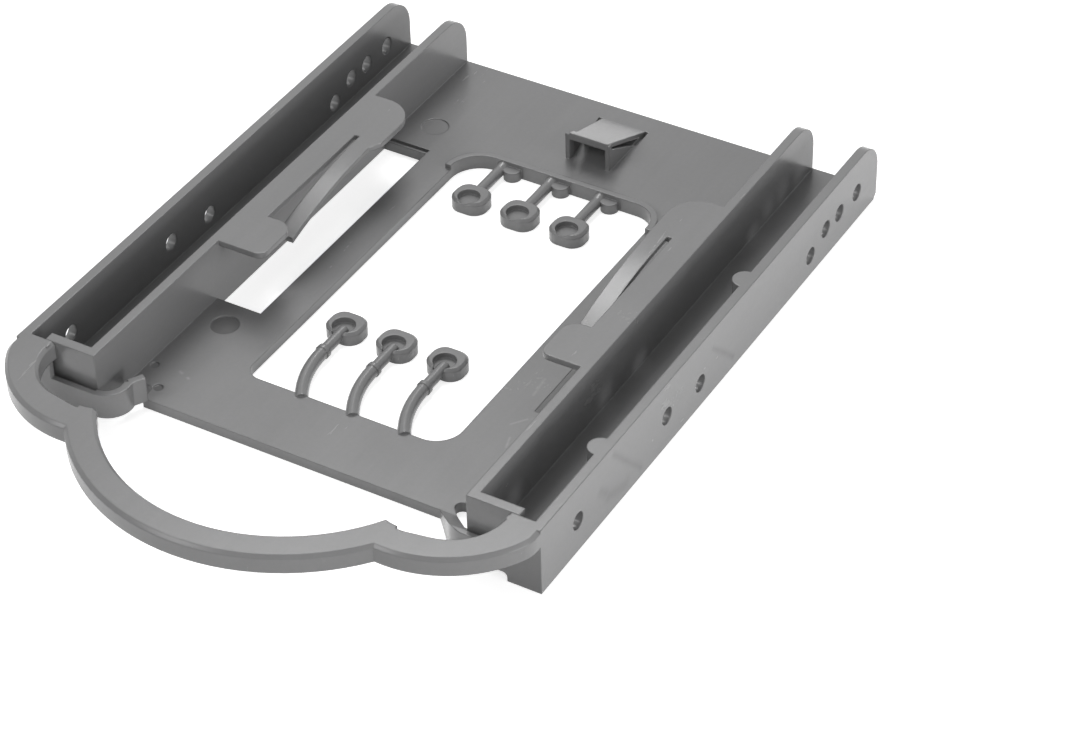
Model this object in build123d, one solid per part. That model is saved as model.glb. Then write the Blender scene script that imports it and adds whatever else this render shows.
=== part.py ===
"""Drive bay adapter bracket, one plastic moulding, in millimetres.

It holds a narrow drive between its two inner walls and fills a wide bay with its two outer walls.
x runs across the bay. y starts at the front edge of the base plate and runs to the rear. z runs up
from the face that the bracket rests on. The handle reaches out in front, towards -y. The finished
bracket is moved so that its origin is the middle of its footprint.
"""
import os
from math import hypot, radians, sin, sqrt, tan

from build123d import *

# The bay and the drive
bay_width = 101.6
drive_width = 69.85
drive_clearance = 1.27

# Base plate and walls
plate_length = 114.3
plate_thickness = 2.0
side_height = 13.3
outer_wall = 1.8
inner_wall = 1.7
wall_top_radius = 6.0
wall_foot_chamfer = 1.0

# Front ends of the channels
rail_overhang = 7.6
front_slot = 0.8
return_thickness = 1.0
return_width = 6.3
end_wall = 1.8
end_wall_gap = 3.0

# Thin skirt between the return faces and the plate: curled on the left, a strap on the right
skirt_bottom = 1.7
skirt_top = 6.6
skirt_foot_radius = 0.9
curl_radius = 4.4
curl_thickness = 1.4
curl_sweep = 110.0
strap_width = 2.4
strap_angle = 48.0
strap_root_x = 27.4
strap_bend_radius = 6.0
rib_thickness = 1.0
rib_top = 5.2

# Open wells in the plate beside the fronts of the inner walls
well_depth = 3.4
well_width = 4.6
well_radius = 1.2

# Handle
flange_thickness = 3.4
handle_reach = 29.4
grip_width = 5.4
bow_rise = 15.1
bow_inset = 20.2
ear_radius = 21.5
ear_inset = 19.8
ear_behind = 6.1
ear_blend_radius = 6.0
ear_band = 6.6
ear_slot_radius = 9.3
ear_slot_behind = 0.3
ear_slot_end_radius = 9.0
ear_slot_stretch = 3.9
ear_slot_end_ahead = 0.7
flange_setback = 1.7
flange_edge = 0.6
cusp_radius = 2.0

# Large window
window_front = 13.8
window_length = 74.2
window_width = 40.7
window_offset = 0.05
window_radius_front_left = 3.0
window_radius_front_right = 5.0
window_radius_rear_left = 6.0
window_radius_rear_right = 5.0
lip_width = 1.2
lip_height = 0.9
lip_reach = 6.0

# Narrow windows under the side pads, and the groove behind the left one
slot_window_front = 29.0
slot_window_length = 55.0
slot_window_left_edge = 27.0
slot_window_right_edge = 28.3
groove_gap = 0.4
groove_width = 0.9
groove_depth = 0.6

# Side pads and their leaf springs
pad_thickness = 1.1
pad_front = 31.0
pad_length = 51.0
pad_left_edge = 27.0
pad_right_edge = 28.2
pad_front_radius = 1.8
pad_tip_radius = 3.0
pad_rear_radius = 6.0
leaf_front = 42.0
leaf_length = 27.5
leaf_width = 3.3
leaf_thickness = 1.0
leaf_inner_edge = 28.3
leaf_side_gap = 1.0
leaf_tip_gap = 1.0
leaf_bend_radius = 99.0
leaf_root_flare = 2.2

# Hood on the rear of the plate
hood_x = 1.3
hood_front_width = 8.0
hood_root_skew = 1.9
hood_front_gap = 7.4
hood_length = 14.4
hood_height = 5.9
hood_skin = 0.9
hood_lip = 1.5
hood_wall = 0.9
hood_wall_height = 4.85
hood_wall_length = 9.6
hood_slit = 0.7

# Pegs that lie in the large window
peg_pitch = 10.25
rear_row_x = -2.4
front_row_x = -1.85
peg_count = 3
peg_head_width = 7.0
peg_head_length = 6.2
peg_head_radius = 2.6
peg_head_thickness = 2.6
peg_head_edge = 0.5
peg_dish_diameter = 4.2
peg_dish_depth = 1.0
peg_dish_shift = 0.9
pin_diameter = 2.1
pin_length = 4.0
collar_diameter = 2.7
collar_length = 0.9
rear_head_gap = 11.4
front_head_gap = 19.8
runner_diameter = 2.4
runner_shift = 3.9
root_diameter = 2.7
root_length = 1.4
tab_shift = 2.2
tab_radius = 1.7

# Screw holes through both outer walls, from the front one
hole_diameter = 3.3
front_hole = 4.2
high_hole_steps = (0.0, 29.8, 89.0, 94.5, 101.6)
high_hole_height = 6.35
low_holes = ((41.6, 4.9), (83.1, 4.3))

# Posts in the right channel and round marks on the plate
post_radius = 2.2
post_places = (14.8, 65.2)
mark_depth = 0.2
marks = ((-30.7, 23.4, 5.2), (-30.1, 92.4, 5.2), (-35.0, 8.4, 1.6), (-30.9, 3.6, 1.8))

# Worked out from the sizes above
outer_face = bay_width / 2
channel_outer = outer_face - outer_wall
cradle_half = drive_width / 2 + drive_clearance
channel_inner = cradle_half + inner_wall
rail_front = -rail_overhang
end_wall_front = rail_front + return_thickness + front_slot
return_edge = outer_face - return_width
handle_front = rail_front - handle_reach
flange_bottom = side_height - flange_thickness
flange_rear = rail_front + flange_setback
bow_half = outer_face - bow_inset
bow_radius = (bow_half ** 2 + bow_rise ** 2) / (2 * bow_rise)
bow_centre = handle_front + bow_radius
window_rear = window_front + window_length
pad_bottom = side_height - pad_thickness
leaf_root = leaf_front + leaf_length
hood_front = window_rear + hood_front_gap
hood_rear = hood_front + hood_length
well_edge = cradle_half - well_width
pin_centre = collar_diameter / 2
footprint_middle = (handle_front + plate_length) / 2
overlap = 0.5


def block(x_low, x_high, y_low, y_high, z_low, z_high):
    """A box between two opposite corners."""
    size = (x_high - x_low, y_high - y_low, z_high - z_low)
    return Pos(x_low, y_low, z_low) * Box(*size, align=(Align.MIN,) * 3)


def area(x_low, x_high, y_low, y_high):
    """A rectangle between two opposite corners."""
    size = (x_high - x_low, y_high - y_low)
    return Pos(x_low, y_low) * Rectangle(*size, align=(Align.MIN,) * 2)


def raised(outline, z_low, z_high):
    """An outline in plan, made solid between two levels."""
    return extrude(Pos(0, 0, z_low) * outline, amount=z_high - z_low)


def both(shape):
    """A shape of the right side and its mirror image on the left."""
    return shape + mirror(shape, about=Plane.YZ)


def corner_of(outline, x, y):
    """The corner of an outline that lies nearest to a place."""
    return min(outline.vertices(), key=lambda v: hypot(v.X - x, v.Y - y))


def rounded(outline, corners):
    """An outline with the corners nearest to the given places rounded, each (x, y, radius)."""
    for x, y, radius in corners:
        outline = fillet(corner_of(outline, x, y), radius)
    return outline


def side_wall(x_low, x_high, y_front):
    """A long upright wall, rounded at the top of its rear end and chamfered at the foot."""
    wall = block(x_low, x_high, y_front, plate_length, 0, side_height)
    rear = wall.edges().filter_by(Axis.X).group_by(Axis.Y)[-1].sort_by(Axis.Z)
    wall = fillet(rear[-1], wall_top_radius)
    rear = wall.edges().filter_by(Axis.X).group_by(Axis.Y)[-1].sort_by(Axis.Z)
    return chamfer(rear[0], wall_foot_chamfer)


def screw_holes():
    """Drills for the screw holes, through both outer walls."""
    places = [(step, high_hole_height) for step in high_hole_steps] + list(low_holes)
    drill = Cylinder(hole_diameter / 2, outer_wall + 2 * overlap)
    drills = Part()
    for step, height in places:
        drills += Pos(outer_face - outer_wall / 2, front_hole + step, height) * Rot(0, 90, 0) * drill
    return both(drills)


def channel():
    """The right channel: outer wall, inner wall, floor, end wall and return face."""
    outer = side_wall(channel_outer, outer_face, rail_front)
    inner = side_wall(cradle_half, channel_inner, end_wall_front)
    floor = block(cradle_half, channel_outer, end_wall_front, plate_length, 0, plate_thickness)
    end_reach = channel_outer - end_wall_gap
    end = block(cradle_half, end_reach, end_wall_front, end_wall_front + end_wall, 0, side_height)
    turned = block(return_edge, outer_face, rail_front, rail_front + return_thickness, 0, side_height)
    return outer + inner + floor + end + turned


def posts():
    """Half-round posts up the inside of the right outer wall."""
    post = Circle(post_radius) & area(-post_radius, overlap, -post_radius, post_radius)
    row = Part()
    for y in post_places:
        row += raised(Pos(channel_outer, y) * post, 0, side_height)
    return row


def large_window():
    """Outline of the large window, with a different radius at each corner."""
    left = window_offset - window_width / 2
    right = window_offset + window_width / 2
    return rounded(area(left, right, window_front, window_rear), (
        (left, window_front, window_radius_front_left),
        (right, window_front, window_radius_front_right),
        (left, window_rear, window_radius_rear_left),
        (right, window_rear, window_radius_rear_right),
    ))


def narrow_windows():
    """Outlines of the two windows that open the plate under the side pads."""
    rear = slot_window_front + slot_window_length
    left = area(-cradle_half, -slot_window_left_edge, slot_window_front, rear)
    right = area(slot_window_right_edge, cradle_half, slot_window_front, rear)
    return left + right


def wells():
    """Outlines of the wells beside the fronts of the inner walls. The right one follows the strap."""
    slope = radians(strap_angle)
    side_x = strap_root_x + strap_width / sin(slope)
    corner_x = side_x - well_depth / tan(slope)
    left = area(-cradle_half, -well_edge, -overlap, well_depth)
    left = rounded(left, ((-well_edge, well_depth, well_radius),))
    right = make_face(Polyline((side_x + overlap / tan(slope), -overlap), (corner_x, well_depth),
                               (cradle_half, well_depth), (cradle_half, -overlap), close=True))
    return left + rounded(right, ((corner_x, well_depth, well_radius),))


def base_plate():
    """The plate between the inner walls, with its windows, lip, groove and round marks."""
    outline = area(-cradle_half, cradle_half, 0, plate_length)
    plate = raised(outline - wells() - large_window() - narrow_windows(), 0, plate_thickness)
    lip = offset(large_window(), lip_width, kind=Kind.ARC) - large_window()
    behind = area(-cradle_half, cradle_half, window_rear - lip_reach, plate_length)
    plate += raised(lip & behind, 0, plate_thickness + lip_height)
    groove = slot_window_front + slot_window_length + groove_gap
    plate -= block(-cradle_half, -slot_window_left_edge, groove, groove + groove_width,
                   plate_thickness - groove_depth, plate_thickness)
    for x, y, diameter in marks:
        plate -= Pos(x, y, plate_thickness) * Cylinder(diameter / 2, 2 * mark_depth)
    return plate


def skirt_steps():
    """Rounds that fill the corners between the skirts and the feet of the return faces."""
    radius = skirt_foot_radius
    corner = area(return_edge - radius, return_edge, skirt_bottom - radius, skirt_bottom)
    corner -= Pos(return_edge - radius, skirt_bottom - radius) * Circle(radius)
    fill = extrude(Plane.XZ.offset(-rail_front) * corner, amount=-return_thickness)
    return both(fill)


def left_skirt():
    """The skirt of the left corner, which curls round to the corner of the plate."""
    curl_x = -well_edge - curl_radius
    run = area(-return_edge - overlap, curl_x, rail_front, rail_front + return_thickness)
    curl_y = rail_front + curl_radius
    bend = CenterArc((curl_x, curl_y), curl_radius - curl_thickness / 2, -90, curl_sweep)
    curl = trace(bend, curl_thickness)
    tail = trace(Line(bend @ 1, (-well_edge + overlap, overlap)), curl_thickness)
    post = raised(tail & area(-cradle_half, 0, -curl_thickness, overlap), 0, skirt_top)
    return raised(run + curl + tail, skirt_bottom, skirt_top) + post


def right_skirt():
    """The skirt of the right corner, which runs to the plate as a strap that slopes down to it."""
    slope = radians(strap_angle)
    bend_x = strap_root_x + rail_overhang / tan(slope)
    inner_root_x = strap_root_x + strap_width / sin(slope)
    inner_reach = rail_overhang - return_thickness
    inner_bend_x = inner_root_x + inner_reach / tan(slope)
    root_shift = overlap / tan(slope)
    outline = make_face(Polyline(
        (return_edge + overlap, rail_front), (bend_x, rail_front), (strap_root_x - root_shift, overlap),
        (inner_root_x - root_shift, overlap), (inner_bend_x, -inner_reach),
        (return_edge + overlap, -inner_reach), close=True))
    outline = rounded(outline, ((bend_x, rail_front, strap_bend_radius),
                                (inner_bend_x, -inner_reach, strap_bend_radius - strap_width)))
    wall = raised(outline, skirt_bottom, skirt_top)
    foot = raised(outline & area(0, bend_x, -inner_reach, overlap), 0, skirt_bottom)
    crest = make_face(Polyline((overlap, plate_thickness), (0, plate_thickness),
                               (-inner_reach, skirt_top), (rail_front, skirt_top),
                               (rail_front, side_height), (overlap, side_height), close=True))
    rib_front = end_wall_front
    rib = block(well_edge + strap_width, cradle_half, rib_front, rib_front + rib_thickness, skirt_bottom, rib_top)
    return wall + foot + rib - extrude(Plane.YZ * crest, amount=outer_face)


def handle():
    """The bow handle and its two ears, one flange level with the tops of the walls."""
    front_half = area(-bow_half, bow_half, handle_front, flange_rear)
    bow = Pos(0, bow_centre) * (Circle(bow_radius) - Circle(bow_radius - grip_width)) & front_half
    ear_x = outer_face - ear_inset
    ear_y = rail_front + ear_behind
    corner_y = ear_y - sqrt(ear_radius ** 2 - ear_inset ** 2)
    ear = Pos(ear_x, ear_y) * Circle(ear_radius)
    ear &= area(bow_half - cusp_radius, outer_face, handle_front, flange_rear)
    ear = rounded(ear, ((outer_face, corner_y, ear_blend_radius),))
    slot_x = outer_face - ear_band - ear_slot_radius
    slot = make_hull((Pos(slot_x, rail_front + ear_slot_behind) * Circle(ear_slot_radius)).edges()
                     + (Pos(slot_x - ear_slot_stretch, rail_front - ear_slot_end_ahead)
                        * Circle(ear_slot_end_radius)).edges())
    bow = raised(bow, flange_bottom, side_height)
    bow = chamfer(bow.faces().sort_by(Axis.Z)[-1].edges().filter_by(GeomType.CIRCLE), flange_edge)
    ear = raised(ear - slot, flange_bottom, side_height)
    ear = chamfer(ear.faces().sort_by(Axis.Z)[-1].edges().filter_by(GeomType.CIRCLE), flange_edge)
    return bow - both(raised(slot, flange_bottom, side_height)) + both(ear)


def side_pad(side, edge):
    """One pad that reaches in from the top of an inner wall, with its leaf spring."""
    pad_rear = pad_front + pad_length
    cut_front = leaf_front - leaf_tip_gap
    cut_edge = leaf_inner_edge + leaf_width + leaf_side_gap
    pad = area(edge, cradle_half, pad_front, pad_rear) - area(0, cut_edge, cut_front, leaf_root)
    pad = rounded(pad, (
        (edge, pad_front, pad_front_radius),
        (edge, cut_front, pad_tip_radius),
        (edge, pad_rear, pad_rear_radius),
    ))
    shape = raised(pad, pad_bottom, side_height) + leaf(edge)
    return shape if side > 0 else mirror(shape, about=Plane.YZ)


def leaf(edge):
    """The leaf spring: rooted level in the pad, and bending down as it runs forward."""
    outer_edge = leaf_inner_edge + leaf_width
    centre_z = side_height - leaf_bend_radius
    lowest = centre_z + sqrt(leaf_bend_radius ** 2 - leaf_length ** 2) - leaf_thickness - overlap
    profile = Pos(leaf_root, centre_z) * (Circle(leaf_bend_radius) - Circle(leaf_bend_radius - leaf_thickness))
    profile &= area(leaf_front, leaf_root, lowest, side_height)
    profile += area(leaf_root, leaf_root + overlap, pad_bottom, side_height)
    plan = make_face(Polyline(
        (leaf_inner_edge, leaf_front), (outer_edge, leaf_front), (outer_edge, leaf_root + overlap),
        (edge, leaf_root + overlap), (edge, leaf_root), (leaf_inner_edge, leaf_root - leaf_root_flare),
        close=True))
    return extrude(Plane.YZ * profile, amount=cradle_half) & raised(plan, 0, side_height)


def hood():
    """The hood on the rear of the plate: a sloping tongue, open in front, between two low walls."""
    top = plate_thickness + hood_height
    left = hood_x - hood_front_width / 2
    right = hood_x + hood_front_width / 2
    slope = make_face(Polyline(
        (hood_front, top), (hood_rear, plate_thickness), (hood_rear, plate_thickness - hood_skin),
        (hood_front, top - hood_skin), close=True))
    plan = make_face(Polyline((left, hood_front), (right, hood_front), (right, hood_rear),
                              (left - hood_root_skew, hood_rear), close=True))
    tongue = extrude(Plane.YZ.offset(-outer_face) * slope, amount=bay_width) & raised(plan, 0, top)
    side = make_face(Polyline(
        (hood_front, plate_thickness - overlap), (hood_front, plate_thickness + hood_wall_height),
        (hood_front + hood_wall_length, plate_thickness),
        (hood_front + hood_wall_length, plate_thickness - overlap), close=True))
    for x in (left - hood_wall, right - hood_wall + hood_slit / 2):
        tongue += extrude(Plane.YZ.offset(x) * side, amount=hood_wall)
    fall = hood_height / hood_length
    lip = block(left - hood_wall, right + hood_slit / 2, hood_front, hood_front + hood_wall,
                top - hood_lip, top - hood_wall * fall)
    return tongue + lip


def hood_slits():
    """The narrow slits along the tongue: open above the plate, and through it behind the walls."""
    top = plate_thickness + hood_height
    front = hood_front + 2 * hood_wall
    back = hood_front + hood_wall_length
    left = hood_x - hood_front_width / 2
    right = hood_x + hood_front_width / 2
    left_front = left - 2 * hood_wall * hood_root_skew / hood_length
    left_rear = left - hood_root_skew
    outline = make_face(Polyline((left_front, front), (left_front + hood_slit, front),
                                 (left_rear + hood_slit, hood_rear), (left_rear, hood_rear), close=True))
    above = raised(outline, plate_thickness, top)
    outline += area(right, right + hood_slit, front, hood_rear)
    behind = area(left_rear, right + hood_slit, back, hood_rear)
    return above + raised(outline & behind, -overlap, plate_thickness + overlap)


def peg_head(keyed):
    """A peg's head on its own origin: a rounded pad with a dish, which a keyed head opens to the front."""
    head = extrude(RectangleRounded(peg_head_width, peg_head_length, peg_head_radius),
                   amount=peg_head_thickness)
    head = chamfer(head.faces().sort_by(Axis.Z)[-1].edges(), peg_head_edge)
    dish = Pos(0, -peg_dish_shift) * Circle(peg_dish_diameter / 2)
    if keyed:
        dish += area(-pin_diameter / 2, pin_diameter / 2, -peg_head_length, -peg_dish_shift)
    return head - raised(dish, peg_head_thickness - peg_dish_depth, peg_head_thickness)


def round_bar(start, length, diameter_start, diameter_end):
    """A round bar that starts in a plane, with a diameter for either end."""
    if diameter_start == diameter_end:
        return extrude(start * Circle(diameter_start / 2), amount=length)
    return loft([start * Circle(diameter_start / 2), start.offset(length) * Circle(diameter_end / 2)])


def rear_peg(x):
    """A peg behind the middle of the window, on a short straight runner from the rear edge."""
    head_y = window_rear - rear_head_gap
    pin_start = head_y + peg_head_length / 2 - overlap
    pin_plane = Plane(origin=(x, pin_start, pin_centre), z_dir=(0, 1, 0))
    root_plane = pin_plane.offset(window_rear - root_length - pin_start)
    peg = Pos(x, head_y) * peg_head(False)
    peg += round_bar(pin_plane, window_rear - pin_start, pin_diameter, pin_diameter)
    peg += round_bar(root_plane, root_length + overlap, pin_diameter, root_diameter)
    tab = Pos(x + tab_shift, window_rear - tab_radius / 4) * Circle(tab_radius)
    tab &= area(x, x + 2 * tab_shift, window_rear - 2 * tab_radius, window_rear + overlap)
    return peg + raised(tab, 0, plate_thickness)


def front_peg(x):
    """A peg in front of the middle of the window, on a runner that bends to the front edge."""
    head_y = window_front + front_head_gap
    pin_start = head_y - peg_dish_shift
    pin_end = head_y - peg_head_length / 2 - pin_length
    pin_plane = Plane(origin=(x, pin_start, pin_centre), z_dir=(0, -1, 0))
    collar_plane = pin_plane.offset(pin_start - pin_end)
    peg = Pos(x, head_y) * peg_head(True)
    peg += round_bar(pin_plane, pin_start - pin_end, pin_diameter, pin_diameter)
    peg += round_bar(collar_plane, collar_length, collar_diameter, collar_diameter)
    root = (x + runner_shift, window_front - overlap, pin_centre)
    bend = TangentArc((x, pin_end - collar_length, pin_centre), root, tangent=(0, -1, 0))
    return peg + sweep(Plane(origin=bend @ 0, z_dir=bend % 0) * Circle(runner_diameter / 2), path=bend)


def pegs():
    """Both rows of pegs."""
    rows = Part()
    for index in range(peg_count):
        step = peg_pitch * (index - (peg_count - 1) / 2)
        rows += rear_peg(rear_row_x + step)
        rows += front_peg(front_row_x + step)
    return rows


def bracket():
    """The whole moulding."""
    body = both(channel()) + posts() + base_plate()
    body += left_skirt() + right_skirt() + skirt_steps()
    body += handle()
    body += side_pad(-1, pad_left_edge) + side_pad(1, pad_right_edge)
    body += hood()
    body += pegs()
    body -= hood_slits() + screw_holes()
    return Pos(0, -footprint_middle, 0) * body


os.makedirs("parts", exist_ok=True)
export_step(bracket(), "parts/adapter_bracket.step")
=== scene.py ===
"""Drive bay adapter bracket: the satin grey plastic of the moulding, and the studio it stands in.

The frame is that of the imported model: x to the right seen from the handle, y from the handle to
the rear, z up from the face that the bracket rests on. Lengths are in metres where no comment
says millimetres.
"""
import math

import bmesh
import bpy
from bpy.props import FloatProperty, FloatVectorProperty, PointerProperty
from mathutils import Euler, Matrix, Vector


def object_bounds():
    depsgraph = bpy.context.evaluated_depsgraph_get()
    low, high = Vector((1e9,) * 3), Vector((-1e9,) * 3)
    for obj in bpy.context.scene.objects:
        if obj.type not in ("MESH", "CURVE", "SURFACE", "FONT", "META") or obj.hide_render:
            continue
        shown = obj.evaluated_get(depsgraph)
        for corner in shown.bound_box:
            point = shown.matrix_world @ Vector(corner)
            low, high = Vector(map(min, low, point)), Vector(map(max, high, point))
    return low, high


bl_info = {
    "name": "Drive Bay Adapter Bracket",
    "version": (1, 0, 0),
    "blender": (4, 5, 0),
    "location": "View3D > Sidebar > Bracket",
    "description": "Finishes the moulding of a drive bay adapter bracket and sets its studio",
    "category": "Object",
}

NODE = "adapter_bracket"

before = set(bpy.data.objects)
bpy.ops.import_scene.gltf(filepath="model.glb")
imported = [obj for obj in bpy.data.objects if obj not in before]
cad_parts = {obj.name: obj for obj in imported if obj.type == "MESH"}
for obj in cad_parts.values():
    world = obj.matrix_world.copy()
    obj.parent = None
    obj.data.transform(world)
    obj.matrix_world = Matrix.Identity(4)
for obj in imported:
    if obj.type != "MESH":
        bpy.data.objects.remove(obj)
cad_low, cad_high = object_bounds()
half_width = (cad_high.x - cad_low.x) / 2

MM = 0.001

# Soft lines on the plastic, in millimetres: the start and end of each, and its width.
# The smears are on the right outer wall (y and z), the scratches on the base plate (x and y).
SMEARS = (
    ((-23.0, 11.8), (-13.4, 1.6), 0.65),
    ((11.2, 9.7), (19.4, 2.0), 0.60),
    ((-27.6, 7.4), (-24.6, 4.4), 1.00),
    ((-25.4, 4.2), (-18.0, 2.2), 1.20),
)
SCRATCHES = (
    ((28.1, -17.4), (28.9, -20.2), 0.22),
    ((26.4, -14.6), (28.4, -11.9), 0.20),
    ((26.0, -6.2), (25.5, -1.2), 0.24),
    ((-30.3, -29.6), (-29.3, -30.0), 0.30),
    ((-28.2, -30.4), (-27.5, -30.7), 0.26),
)

# Recesses in the plate with painted shade inside, in millimetres: centre and radius
SHADED_RECESSES = (((-30.7, -15.25), 2.6), ((-30.9, -35.05), 0.9))
RECESS_SHADE_SOFTNESS = 0.12 * MM

# The scratches and the painted recess shade on the plate end just above its top face, and the
# smears just inside the outer wall's outside
PLATE_LEVEL = 2.1 * MM
PLATE_SOFTNESS = 0.05 * MM
SIDE_INSET = 0.2 * MM
SIDE_SOFTNESS = 0.1 * MM

# How far each noise moves the shade of the plastic
CLOUD_SHADE = 0.16
FLOW_SHADE = 0.10
SPECKLE_SHADE = 0.06

# How far each kind of mark, and the painted shade in the recesses, takes the plastic to the colour
# of the mark
SCUFF_STRENGTH = 0.35
SCRATCH_STRENGTH = 0.45
SMEAR_STRENGTH = 0.24
RECESS_SHADE_STRENGTH = 0.42
# The dark colour of the smears on the right outer wall and of the painted shade in the recesses
SMEAR_AND_SHADE_COLOUR = (0.02, 0.02, 0.02, 1.0)

# How far the noises and the scuffs move the roughness
PATCH_ROUGHNESS = 0.14
SPECKLE_ROUGHNESS = 0.05
SCUFF_ROUGHNESS = 0.12

WHITE = (1, 1, 1, 1)
FLOOR_COLOUR = (0.92, 0.92, 0.92, 1)
FLOOR_RADIUS = 4.0
FLOOR_SIDES = 96

# The lamps: azimuth from the front to the right and elevation, in degrees, then the settings that
# give the width and the power
LAMPS = (
    ("key", 211, 58, "key_size", "key_power"),
    ("front", -32, 42, "key_size", "front_power"),
    ("fill", 90, 25, "key_size", "fill_power"),
    ("low", 80, 8, "low_size", "low_power"),
)

# The point that the camera is turned about, and the camera's shift to the right and up
CAMERA_TARGET = (0.0, 21.35 * MM, 7.0 * MM)
CAMERA_SHIFT = (9.953 * MM, -23.675 * MM)
CAMERA_NEAR = 0.01
SENSOR_WIDTH = 36.0  # millimetres


class Sum:
    """A shader socket, with the arithmetic of Python."""

    def __init__(self, tree, socket):
        self.tree = tree
        self.socket = socket

    def math(self, operation, *others):
        """A Math node on this value and the others."""
        inputs = dict(enumerate((self, *others)))
        return self.tree.add("ShaderNodeMath", {"operation": operation}, inputs)

    def __add__(self, other):
        return self.math("ADD", other)

    __radd__ = __add__

    def __mul__(self, other):
        return self.math("MULTIPLY", other)

    def __sub__(self, other):
        return self.math("SUBTRACT", other)

    def __rsub__(self, other):
        return self.tree.value(other).math("SUBTRACT", self)

    def __truediv__(self, other):
        return self.math("DIVIDE", other)

    def __pow__(self, other):
        return self.math("POWER", other)

    def above(self, edge, softness):
        """A mask that rises from 0 to 1 round an edge."""
        settings = {"interpolation_type": "SMOOTHSTEP"}
        limits = {"Value": self, "From Min": edge - softness, "From Max": edge + softness}
        return self.tree.add("ShaderNodeMapRange", settings, limits, "Result")

    def below(self, edge, softness):
        """A mask that falls from 1 to 0 round an edge."""
        return 1 - self.above(edge, softness)


class Tree:
    """The nodes of one material or world."""

    def __init__(self, owner):
        owner.use_nodes = True
        self.nodes = owner.node_tree.nodes
        self.links = owner.node_tree.links
        self.nodes.clear()

    def value(self, number):
        """A number as the start of an expression."""
        return self.add("ShaderNodeMath", {"operation": "ADD"}, {0: number, 1: 0.0})

    def add(self, kind, settings=None, inputs=None, output=0):
        """A node of a kind: its settings come first, then the values or links of its sockets."""
        node = self.nodes.new(kind)
        for name, setting in (settings or {}).items():
            setattr(node, name, setting)
        for name, wanted in (inputs or {}).items():
            if isinstance(wanted, Sum):
                self.links.new(wanted.socket, node.inputs[name])
            else:
                node.inputs[name].default_value = wanted
        return Sum(self, node.outputs[output]) if node.outputs else node

    def place(self):
        """The point being shaded, in metres: as a vector, and as its x, y and z."""
        where = self.add("ShaderNodeTexCoord", output="Object")
        parts = self.add("ShaderNodeSeparateXYZ", inputs={0: where})
        return where, [Sum(self, output) for output in parts.socket.node.outputs]

    def noise(self, where, size, detail=2.0, roughness=0.5, stretch=(1.0, 1.0, 1.0)):
        """Smooth noise from 0 to 1 with features of a size in metres, stretched along the axes."""
        scale = tuple(1 / (size * s) for s in stretch)
        mapped = self.add("ShaderNodeMapping", inputs={"Vector": where, "Scale": scale})
        sockets = {"Vector": mapped, "Scale": 1.0, "Detail": detail, "Roughness": roughness}
        return self.add("ShaderNodeTexNoise", {"noise_dimensions": "3D"}, sockets)

    def blend(self, factor, first, second):
        """A colour between two others."""
        return self.add("ShaderNodeMix", {"data_type": "RGBA"},
                        {0: factor, 6: first, 7: second}, output=2)


class PlasticSettings(bpy.types.PropertyGroup):
    """The finish of the moulding."""

    colour: FloatVectorProperty(
        name="Colour", description="Colour of the plastic", subtype="COLOR", size=3,
        min=0.0, max=1.0, default=(0.248, 0.248, 0.250))
    scuff_colour: FloatVectorProperty(
        name="Scuff colour", description="Colour of light scuffs and scratches on the plastic",
        subtype="COLOR", size=3, min=0.0, max=1.0, default=(0.42, 0.42, 0.42))
    roughness: FloatProperty(
        name="Roughness", description="Roughness of the satin surface",
        min=0.0, max=1.0, default=0.24)
    grain_size: FloatProperty(
        name="Grain size", description="Size of the fine grain of the mould",
        unit="LENGTH", default=0.16 * MM)
    grain_depth: FloatProperty(
        name="Grain depth", description="Depth of the fine grain",
        unit="LENGTH", default=0.006 * MM)
    edge_radius: FloatProperty(
        name="Edge radius", description="Radius of the small rounds along every edge",
        unit="LENGTH", default=0.35 * MM)
    smear_depth: FloatProperty(
        name="Smear depth", description="Depth of the flow marks on the right outer wall",
        unit="LENGTH", default=0.05 * MM)


class StageSettings(bpy.types.PropertyGroup):
    """The studio and the camera."""

    key_power: FloatProperty(
        name="Key power", description="Power of the high lamp behind the left corner",
        unit="POWER", default=2.35)
    front_power: FloatProperty(
        name="Front power", description="Power of the lamp in front, at the left",
        unit="POWER", default=1.25)
    key_size: FloatProperty(
        name="Key size", description="Width of each lamp but the low one",
        unit="LENGTH", default=0.30)
    fill_power: FloatProperty(
        name="Fill power", description="Power of the lamp at the right",
        unit="POWER", default=0.6)
    low_power: FloatProperty(
        name="Low power", description="Power of the low lamp at the right",
        unit="POWER", default=1.9)
    low_size: FloatProperty(
        name="Low size", description="Width of the low lamp",
        unit="LENGTH", default=0.25)
    lamp_distance: FloatProperty(
        name="Lamp distance", description="Distance of every lamp from the bracket",
        unit="LENGTH", default=0.80)
    sky_strength: FloatProperty(
        name="Sky strength", description="Light that comes evenly from all round",
        min=0.0, default=0.25)
    floor_glow: FloatProperty(
        name="Floor glow", description="White that the floor adds, which thins the shadow on it",
        min=0.0, default=0.72)
    lens: FloatProperty(
        name="Lens", description="Focal length of the camera", unit="CAMERA", default=109.95)
    distance: FloatProperty(
        name="Distance", description="Distance from the camera to the point it is turned about",
        unit="LENGTH", default=0.582414)
    azimuth: FloatProperty(
        name="Azimuth", description="Turn of the camera round the bracket",
        subtype="ANGLE", default=math.radians(30.86))
    elevation: FloatProperty(
        name="Elevation", description="Height of the camera above the horizon",
        subtype="ANGLE", default=math.radians(39.045))
    roll: FloatProperty(
        name="Roll", description="Turn of the camera about its own axis",
        subtype="ANGLE", default=math.radians(-1.262))


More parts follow.
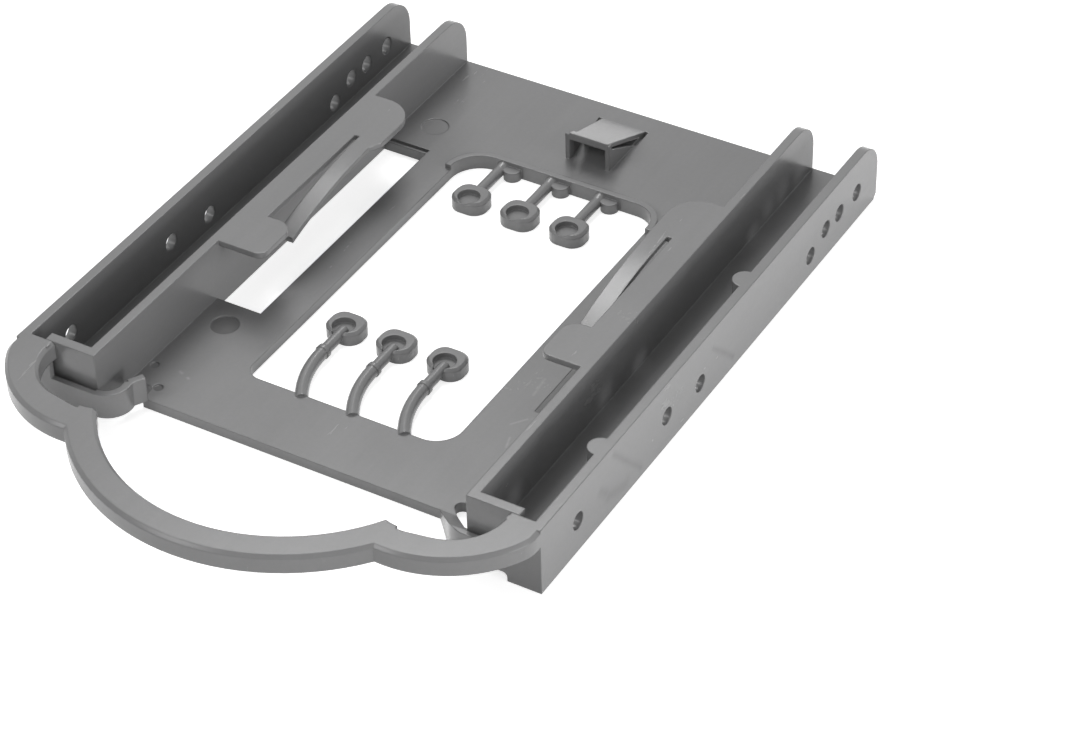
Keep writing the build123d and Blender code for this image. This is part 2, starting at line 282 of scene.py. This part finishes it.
def plastic_material(settings):
    """Satin grey plastic with fine grain, soft edges, flow marks, scuffs, and painted shade inside
    two round hollows of the plate.
    """
    material = bpy.data.materials.new("satin_grey_plastic")
    tree = Tree(material)
    where, (x, y, z) = tree.place()

    cloud = tree.noise(where, 38 * MM, detail=3.0)
    flow = tree.noise(where, 5 * MM, detail=3.0, roughness=0.6, stretch=(0.5, 6.0, 1.0))
    speckle = tree.noise(where, 0.7 * MM, detail=2.0)
    patches = tree.noise(where, 16 * MM, detail=4.0, roughness=0.6)
    shade = (1 + (cloud - 0.5) * CLOUD_SHADE + (flow - 0.5) * FLOW_SHADE
             + (speckle - 0.5) * SPECKLE_SHADE)
    tone = tree.add("ShaderNodeCombineXYZ", inputs={0: shade, 1: shade, 2: shade})
    base = tree.add("ShaderNodeMix", {"data_type": "RGBA", "blend_type": "MULTIPLY"},
                    {0: 1.0, 6: (*settings.colour, 1.0), 7: tone}, output=2)

    scuff_lines = tree.noise(where, 1.3 * MM, detail=4.0, roughness=0.62, stretch=(1.0, 9.0, 4.0))
    scuff_area = tree.noise(where, 30 * MM, detail=2.0)
    scuffs = scuff_lines.above(0.68, 0.03) * scuff_area.above(0.56, 0.06)
    on_plate = z.below(PLATE_LEVEL, PLATE_SOFTNESS)
    scratches = streaks(tree, x, y, SCRATCHES) * on_plate * (speckle * 0.8 + 0.4)
    lighter = (scuffs * SCUFF_STRENGTH + scratches * SCRATCH_STRENGTH).math("MINIMUM", 1.0)
    colour = tree.blend(lighter, base, (*settings.scuff_colour, 1.0))

    side = x.above(half_width - SIDE_INSET, SIDE_SOFTNESS)
    smears = streaks(tree, y, z, SMEARS) * side * (patches * 1.2 + 0.3)
    # Painted shade inside two round hollows of the plate, darker where shade falls into them
    recess_shade = recess_shade_mask(tree, x, y) * on_plate
    darker = (smears * SMEAR_STRENGTH + recess_shade * RECESS_SHADE_STRENGTH).math("MINIMUM", 1.0)
    colour = tree.blend(darker, colour, SMEAR_AND_SHADE_COLOUR)

    roughness = (settings.roughness + (patches - 0.5) * PATCH_ROUGHNESS
                 + (speckle - 0.5) * SPECKLE_ROUGHNESS + scuffs * SCUFF_ROUGHNESS)

    grain = tree.noise(where, settings.grain_size, detail=2.0, roughness=0.55)
    height = grain * settings.grain_depth - smears * settings.smear_depth
    edges = tree.add("ShaderNodeBevel", {"samples": 8}, {"Radius": settings.edge_radius})
    bump = tree.add("ShaderNodeBump", inputs={
        "Strength": 1.0, "Distance": 1.0, "Height": height, "Normal": edges})

    shader = tree.add("ShaderNodeBsdfPrincipled", inputs={
        "Base Color": colour, "Roughness": roughness, "Normal": bump,
        "IOR": 1.5, "Specular IOR Level": 0.5})
    tree.add("ShaderNodeOutputMaterial", inputs={"Surface": shader})
    return material


def streaks(tree, first, second, lines):
    """A mask of soft straight lines in the plane of two coordinates."""
    mask = tree.value(0.0)
    for (a, b), (a_end, b_end), width in lines:
        length = math.hypot(a_end - a, b_end - b)
        step_a, step_b = (a_end - a) / length, (b_end - b) / length
        from_a, from_b = first - a * MM, second - b * MM
        along = from_a * step_a + from_b * step_b
        across = (from_a * step_b - from_b * step_a) / (width * MM)
        line = (0 - across * across).math("EXPONENT")
        ends = along.above(0.0, width * MM) * along.below(length * MM, width * MM)
        mask = mask.math("MAXIMUM", line * ends)
    return mask


def recess_shade_mask(tree, x, y):
    """A mask of the painted shade inside the round hollows of the plate."""
    mask = tree.value(0.0)
    for (mark_x, mark_y), radius in SHADED_RECESSES:
        from_x, from_y = x - mark_x * MM, y - mark_y * MM
        distance = (from_x * from_x + from_y * from_y) ** 0.5
        mask = mask.math("MAXIMUM", distance.below(radius * MM, RECESS_SHADE_SOFTNESS))
    return mask


def seen_white(tree):
    """1 for the rays that meet the white surroundings: the camera's, mirrored and clear ones."""
    path = tree.add("ShaderNodeLightPath").socket.node
    camera, glossy, clear = (Sum(tree, path.outputs[f"Is {kind} Ray"])
                             for kind in ("Camera", "Glossy", "Transmission"))
    return camera.math("MAXIMUM", glossy).math("MAXIMUM", clear)


def world_light(settings):
    """An even light from all round, which the camera sees as white."""
    world = bpy.data.worlds.new("studio")
    bpy.context.scene.world = world
    tree = Tree(world)
    sky = tree.add("ShaderNodeBackground", inputs={
        "Color": WHITE, "Strength": settings.sky_strength})
    white = tree.add("ShaderNodeBackground", inputs={"Color": WHITE, "Strength": 1.0})
    mixed = tree.add("ShaderNodeMixShader", inputs={0: seen_white(tree), 1: sky, 2: white})
    tree.add("ShaderNodeOutputWorld", inputs={"Surface": mixed})


def floor_material(settings):
    """A white floor that takes the soft shadow of the bracket."""
    material = bpy.data.materials.new("white_floor")
    tree = Tree(material)
    matte = tree.add("ShaderNodeBsdfDiffuse", inputs={"Color": FLOOR_COLOUR})
    glow = tree.add("ShaderNodeEmission", inputs={
        "Color": WHITE, "Strength": settings.floor_glow})
    lit = tree.add("ShaderNodeAddShader", inputs={0: matte, 1: glow})
    mixed = tree.add("ShaderNodeMixShader", inputs={0: seen_white(tree), 1: matte, 2: lit})
    tree.add("ShaderNodeOutputMaterial", inputs={"Surface": mixed})
    return material


def add_floor(settings):
    """A wide round floor just under the bracket."""
    mesh = bpy.data.meshes.new("floor")
    made = bmesh.new()
    bmesh.ops.create_circle(made, cap_ends=True, segments=FLOOR_SIDES, radius=FLOOR_RADIUS,
                            matrix=Matrix.Translation((0, 0, cad_low.z)))
    made.to_mesh(mesh)
    made.free()
    floor = bpy.data.objects.new("floor", mesh)
    bpy.context.scene.collection.objects.link(floor)
    floor.data.materials.append(floor_material(settings))


def add_lamp(name, azimuth, elevation, distance, size, power):
    """A square soft lamp that faces the bracket, with its direction in degrees."""
    lamp = bpy.data.lights.new(name, "AREA")
    lamp.size = size
    lamp.energy = power
    holder = bpy.data.objects.new(name, lamp)
    bpy.context.scene.collection.objects.link(holder)
    turn = Euler((math.radians(90 - elevation), 0.0, math.radians(azimuth)))
    holder.rotation_euler = turn
    holder.location = turn.to_matrix() @ Vector((0.0, 0.0, distance))


def add_camera(settings):
    """The camera, in front of the bracket, to its right and above it."""
    data = bpy.data.cameras.new("camera")
    data.sensor_width = SENSOR_WIDTH
    data.lens = settings.lens
    data.clip_start = CAMERA_NEAR
    turn = Euler((math.pi / 2 - settings.elevation, 0.0, settings.azimuth)).to_matrix()
    turn = turn @ Matrix.Rotation(settings.roll, 3, "Z")
    camera = bpy.data.objects.new("camera", data)
    bpy.context.scene.collection.objects.link(camera)
    offset = turn @ Vector((*CAMERA_SHIFT, settings.distance))
    camera.matrix_world = Matrix.Translation(Vector(CAMERA_TARGET) + offset) @ turn.to_4x4()
    bpy.context.scene.camera = camera


class OBJECT_OT_bracket_moulding(bpy.types.Operator):
    """Give the moulding its satin grey plastic"""

    bl_idname = "object.bracket_moulding"
    bl_label = "Bracket Moulding"

    def execute(self, context):
        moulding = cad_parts[NODE]
        material = plastic_material(context.scene.bracket_plastic)
        for index in range(max(1, len(moulding.material_slots))):
            if index < len(moulding.material_slots):
                moulding.material_slots[index].material = material
            else:
                moulding.data.materials.append(material)
        return {"FINISHED"}


class OBJECT_OT_bracket_stage(bpy.types.Operator):
    """Set the floor, the lamps, the sky and the camera"""

    bl_idname = "object.bracket_stage"
    bl_label = "Bracket Stage"

    def execute(self, context):
        settings = context.scene.bracket_stage
        context.scene.view_settings.view_transform = "Standard"
        world_light(settings)
        add_floor(settings)
        for name, azimuth, elevation, size, power in LAMPS:
            add_lamp(name, azimuth, elevation, settings.lamp_distance,
                     getattr(settings, size), getattr(settings, power))
        add_camera(settings)
        return {"FINISHED"}


class VIEW3D_PT_bracket(bpy.types.Panel):
    """The bracket's settings and operators."""

    bl_label = "Bracket"
    bl_space_type = "VIEW_3D"
    bl_region_type = "UI"
    bl_category = "Bracket"

    def draw(self, context):
        for settings, operator in (
            (context.scene.bracket_plastic, "object.bracket_moulding"),
            (context.scene.bracket_stage, "object.bracket_stage"),
        ):
            column = self.layout.column(align=True)
            for name in settings.__annotations__:
                column.prop(settings, name)
            column.operator(operator)


CLASSES = (
    PlasticSettings,
    StageSettings,
    OBJECT_OT_bracket_moulding,
    OBJECT_OT_bracket_stage,
    VIEW3D_PT_bracket,
)


def register():
    """Adds the classes and their settings."""
    for cls in CLASSES:
        bpy.utils.register_class(cls)
    bpy.types.Scene.bracket_plastic = PointerProperty(type=PlasticSettings)
    bpy.types.Scene.bracket_stage = PointerProperty(type=StageSettings)


def unregister():
    """Takes the classes and their settings away."""
    del bpy.types.Scene.bracket_stage
    del bpy.types.Scene.bracket_plastic
    for cls in reversed(CLASSES):
        bpy.utils.unregister_class(cls)


def main():
    """Makes the bracket's finish and its stage."""
    register()
    bpy.ops.object.bracket_moulding()
    bpy.ops.object.bracket_stage()


if __name__ == "__main__":
    main()
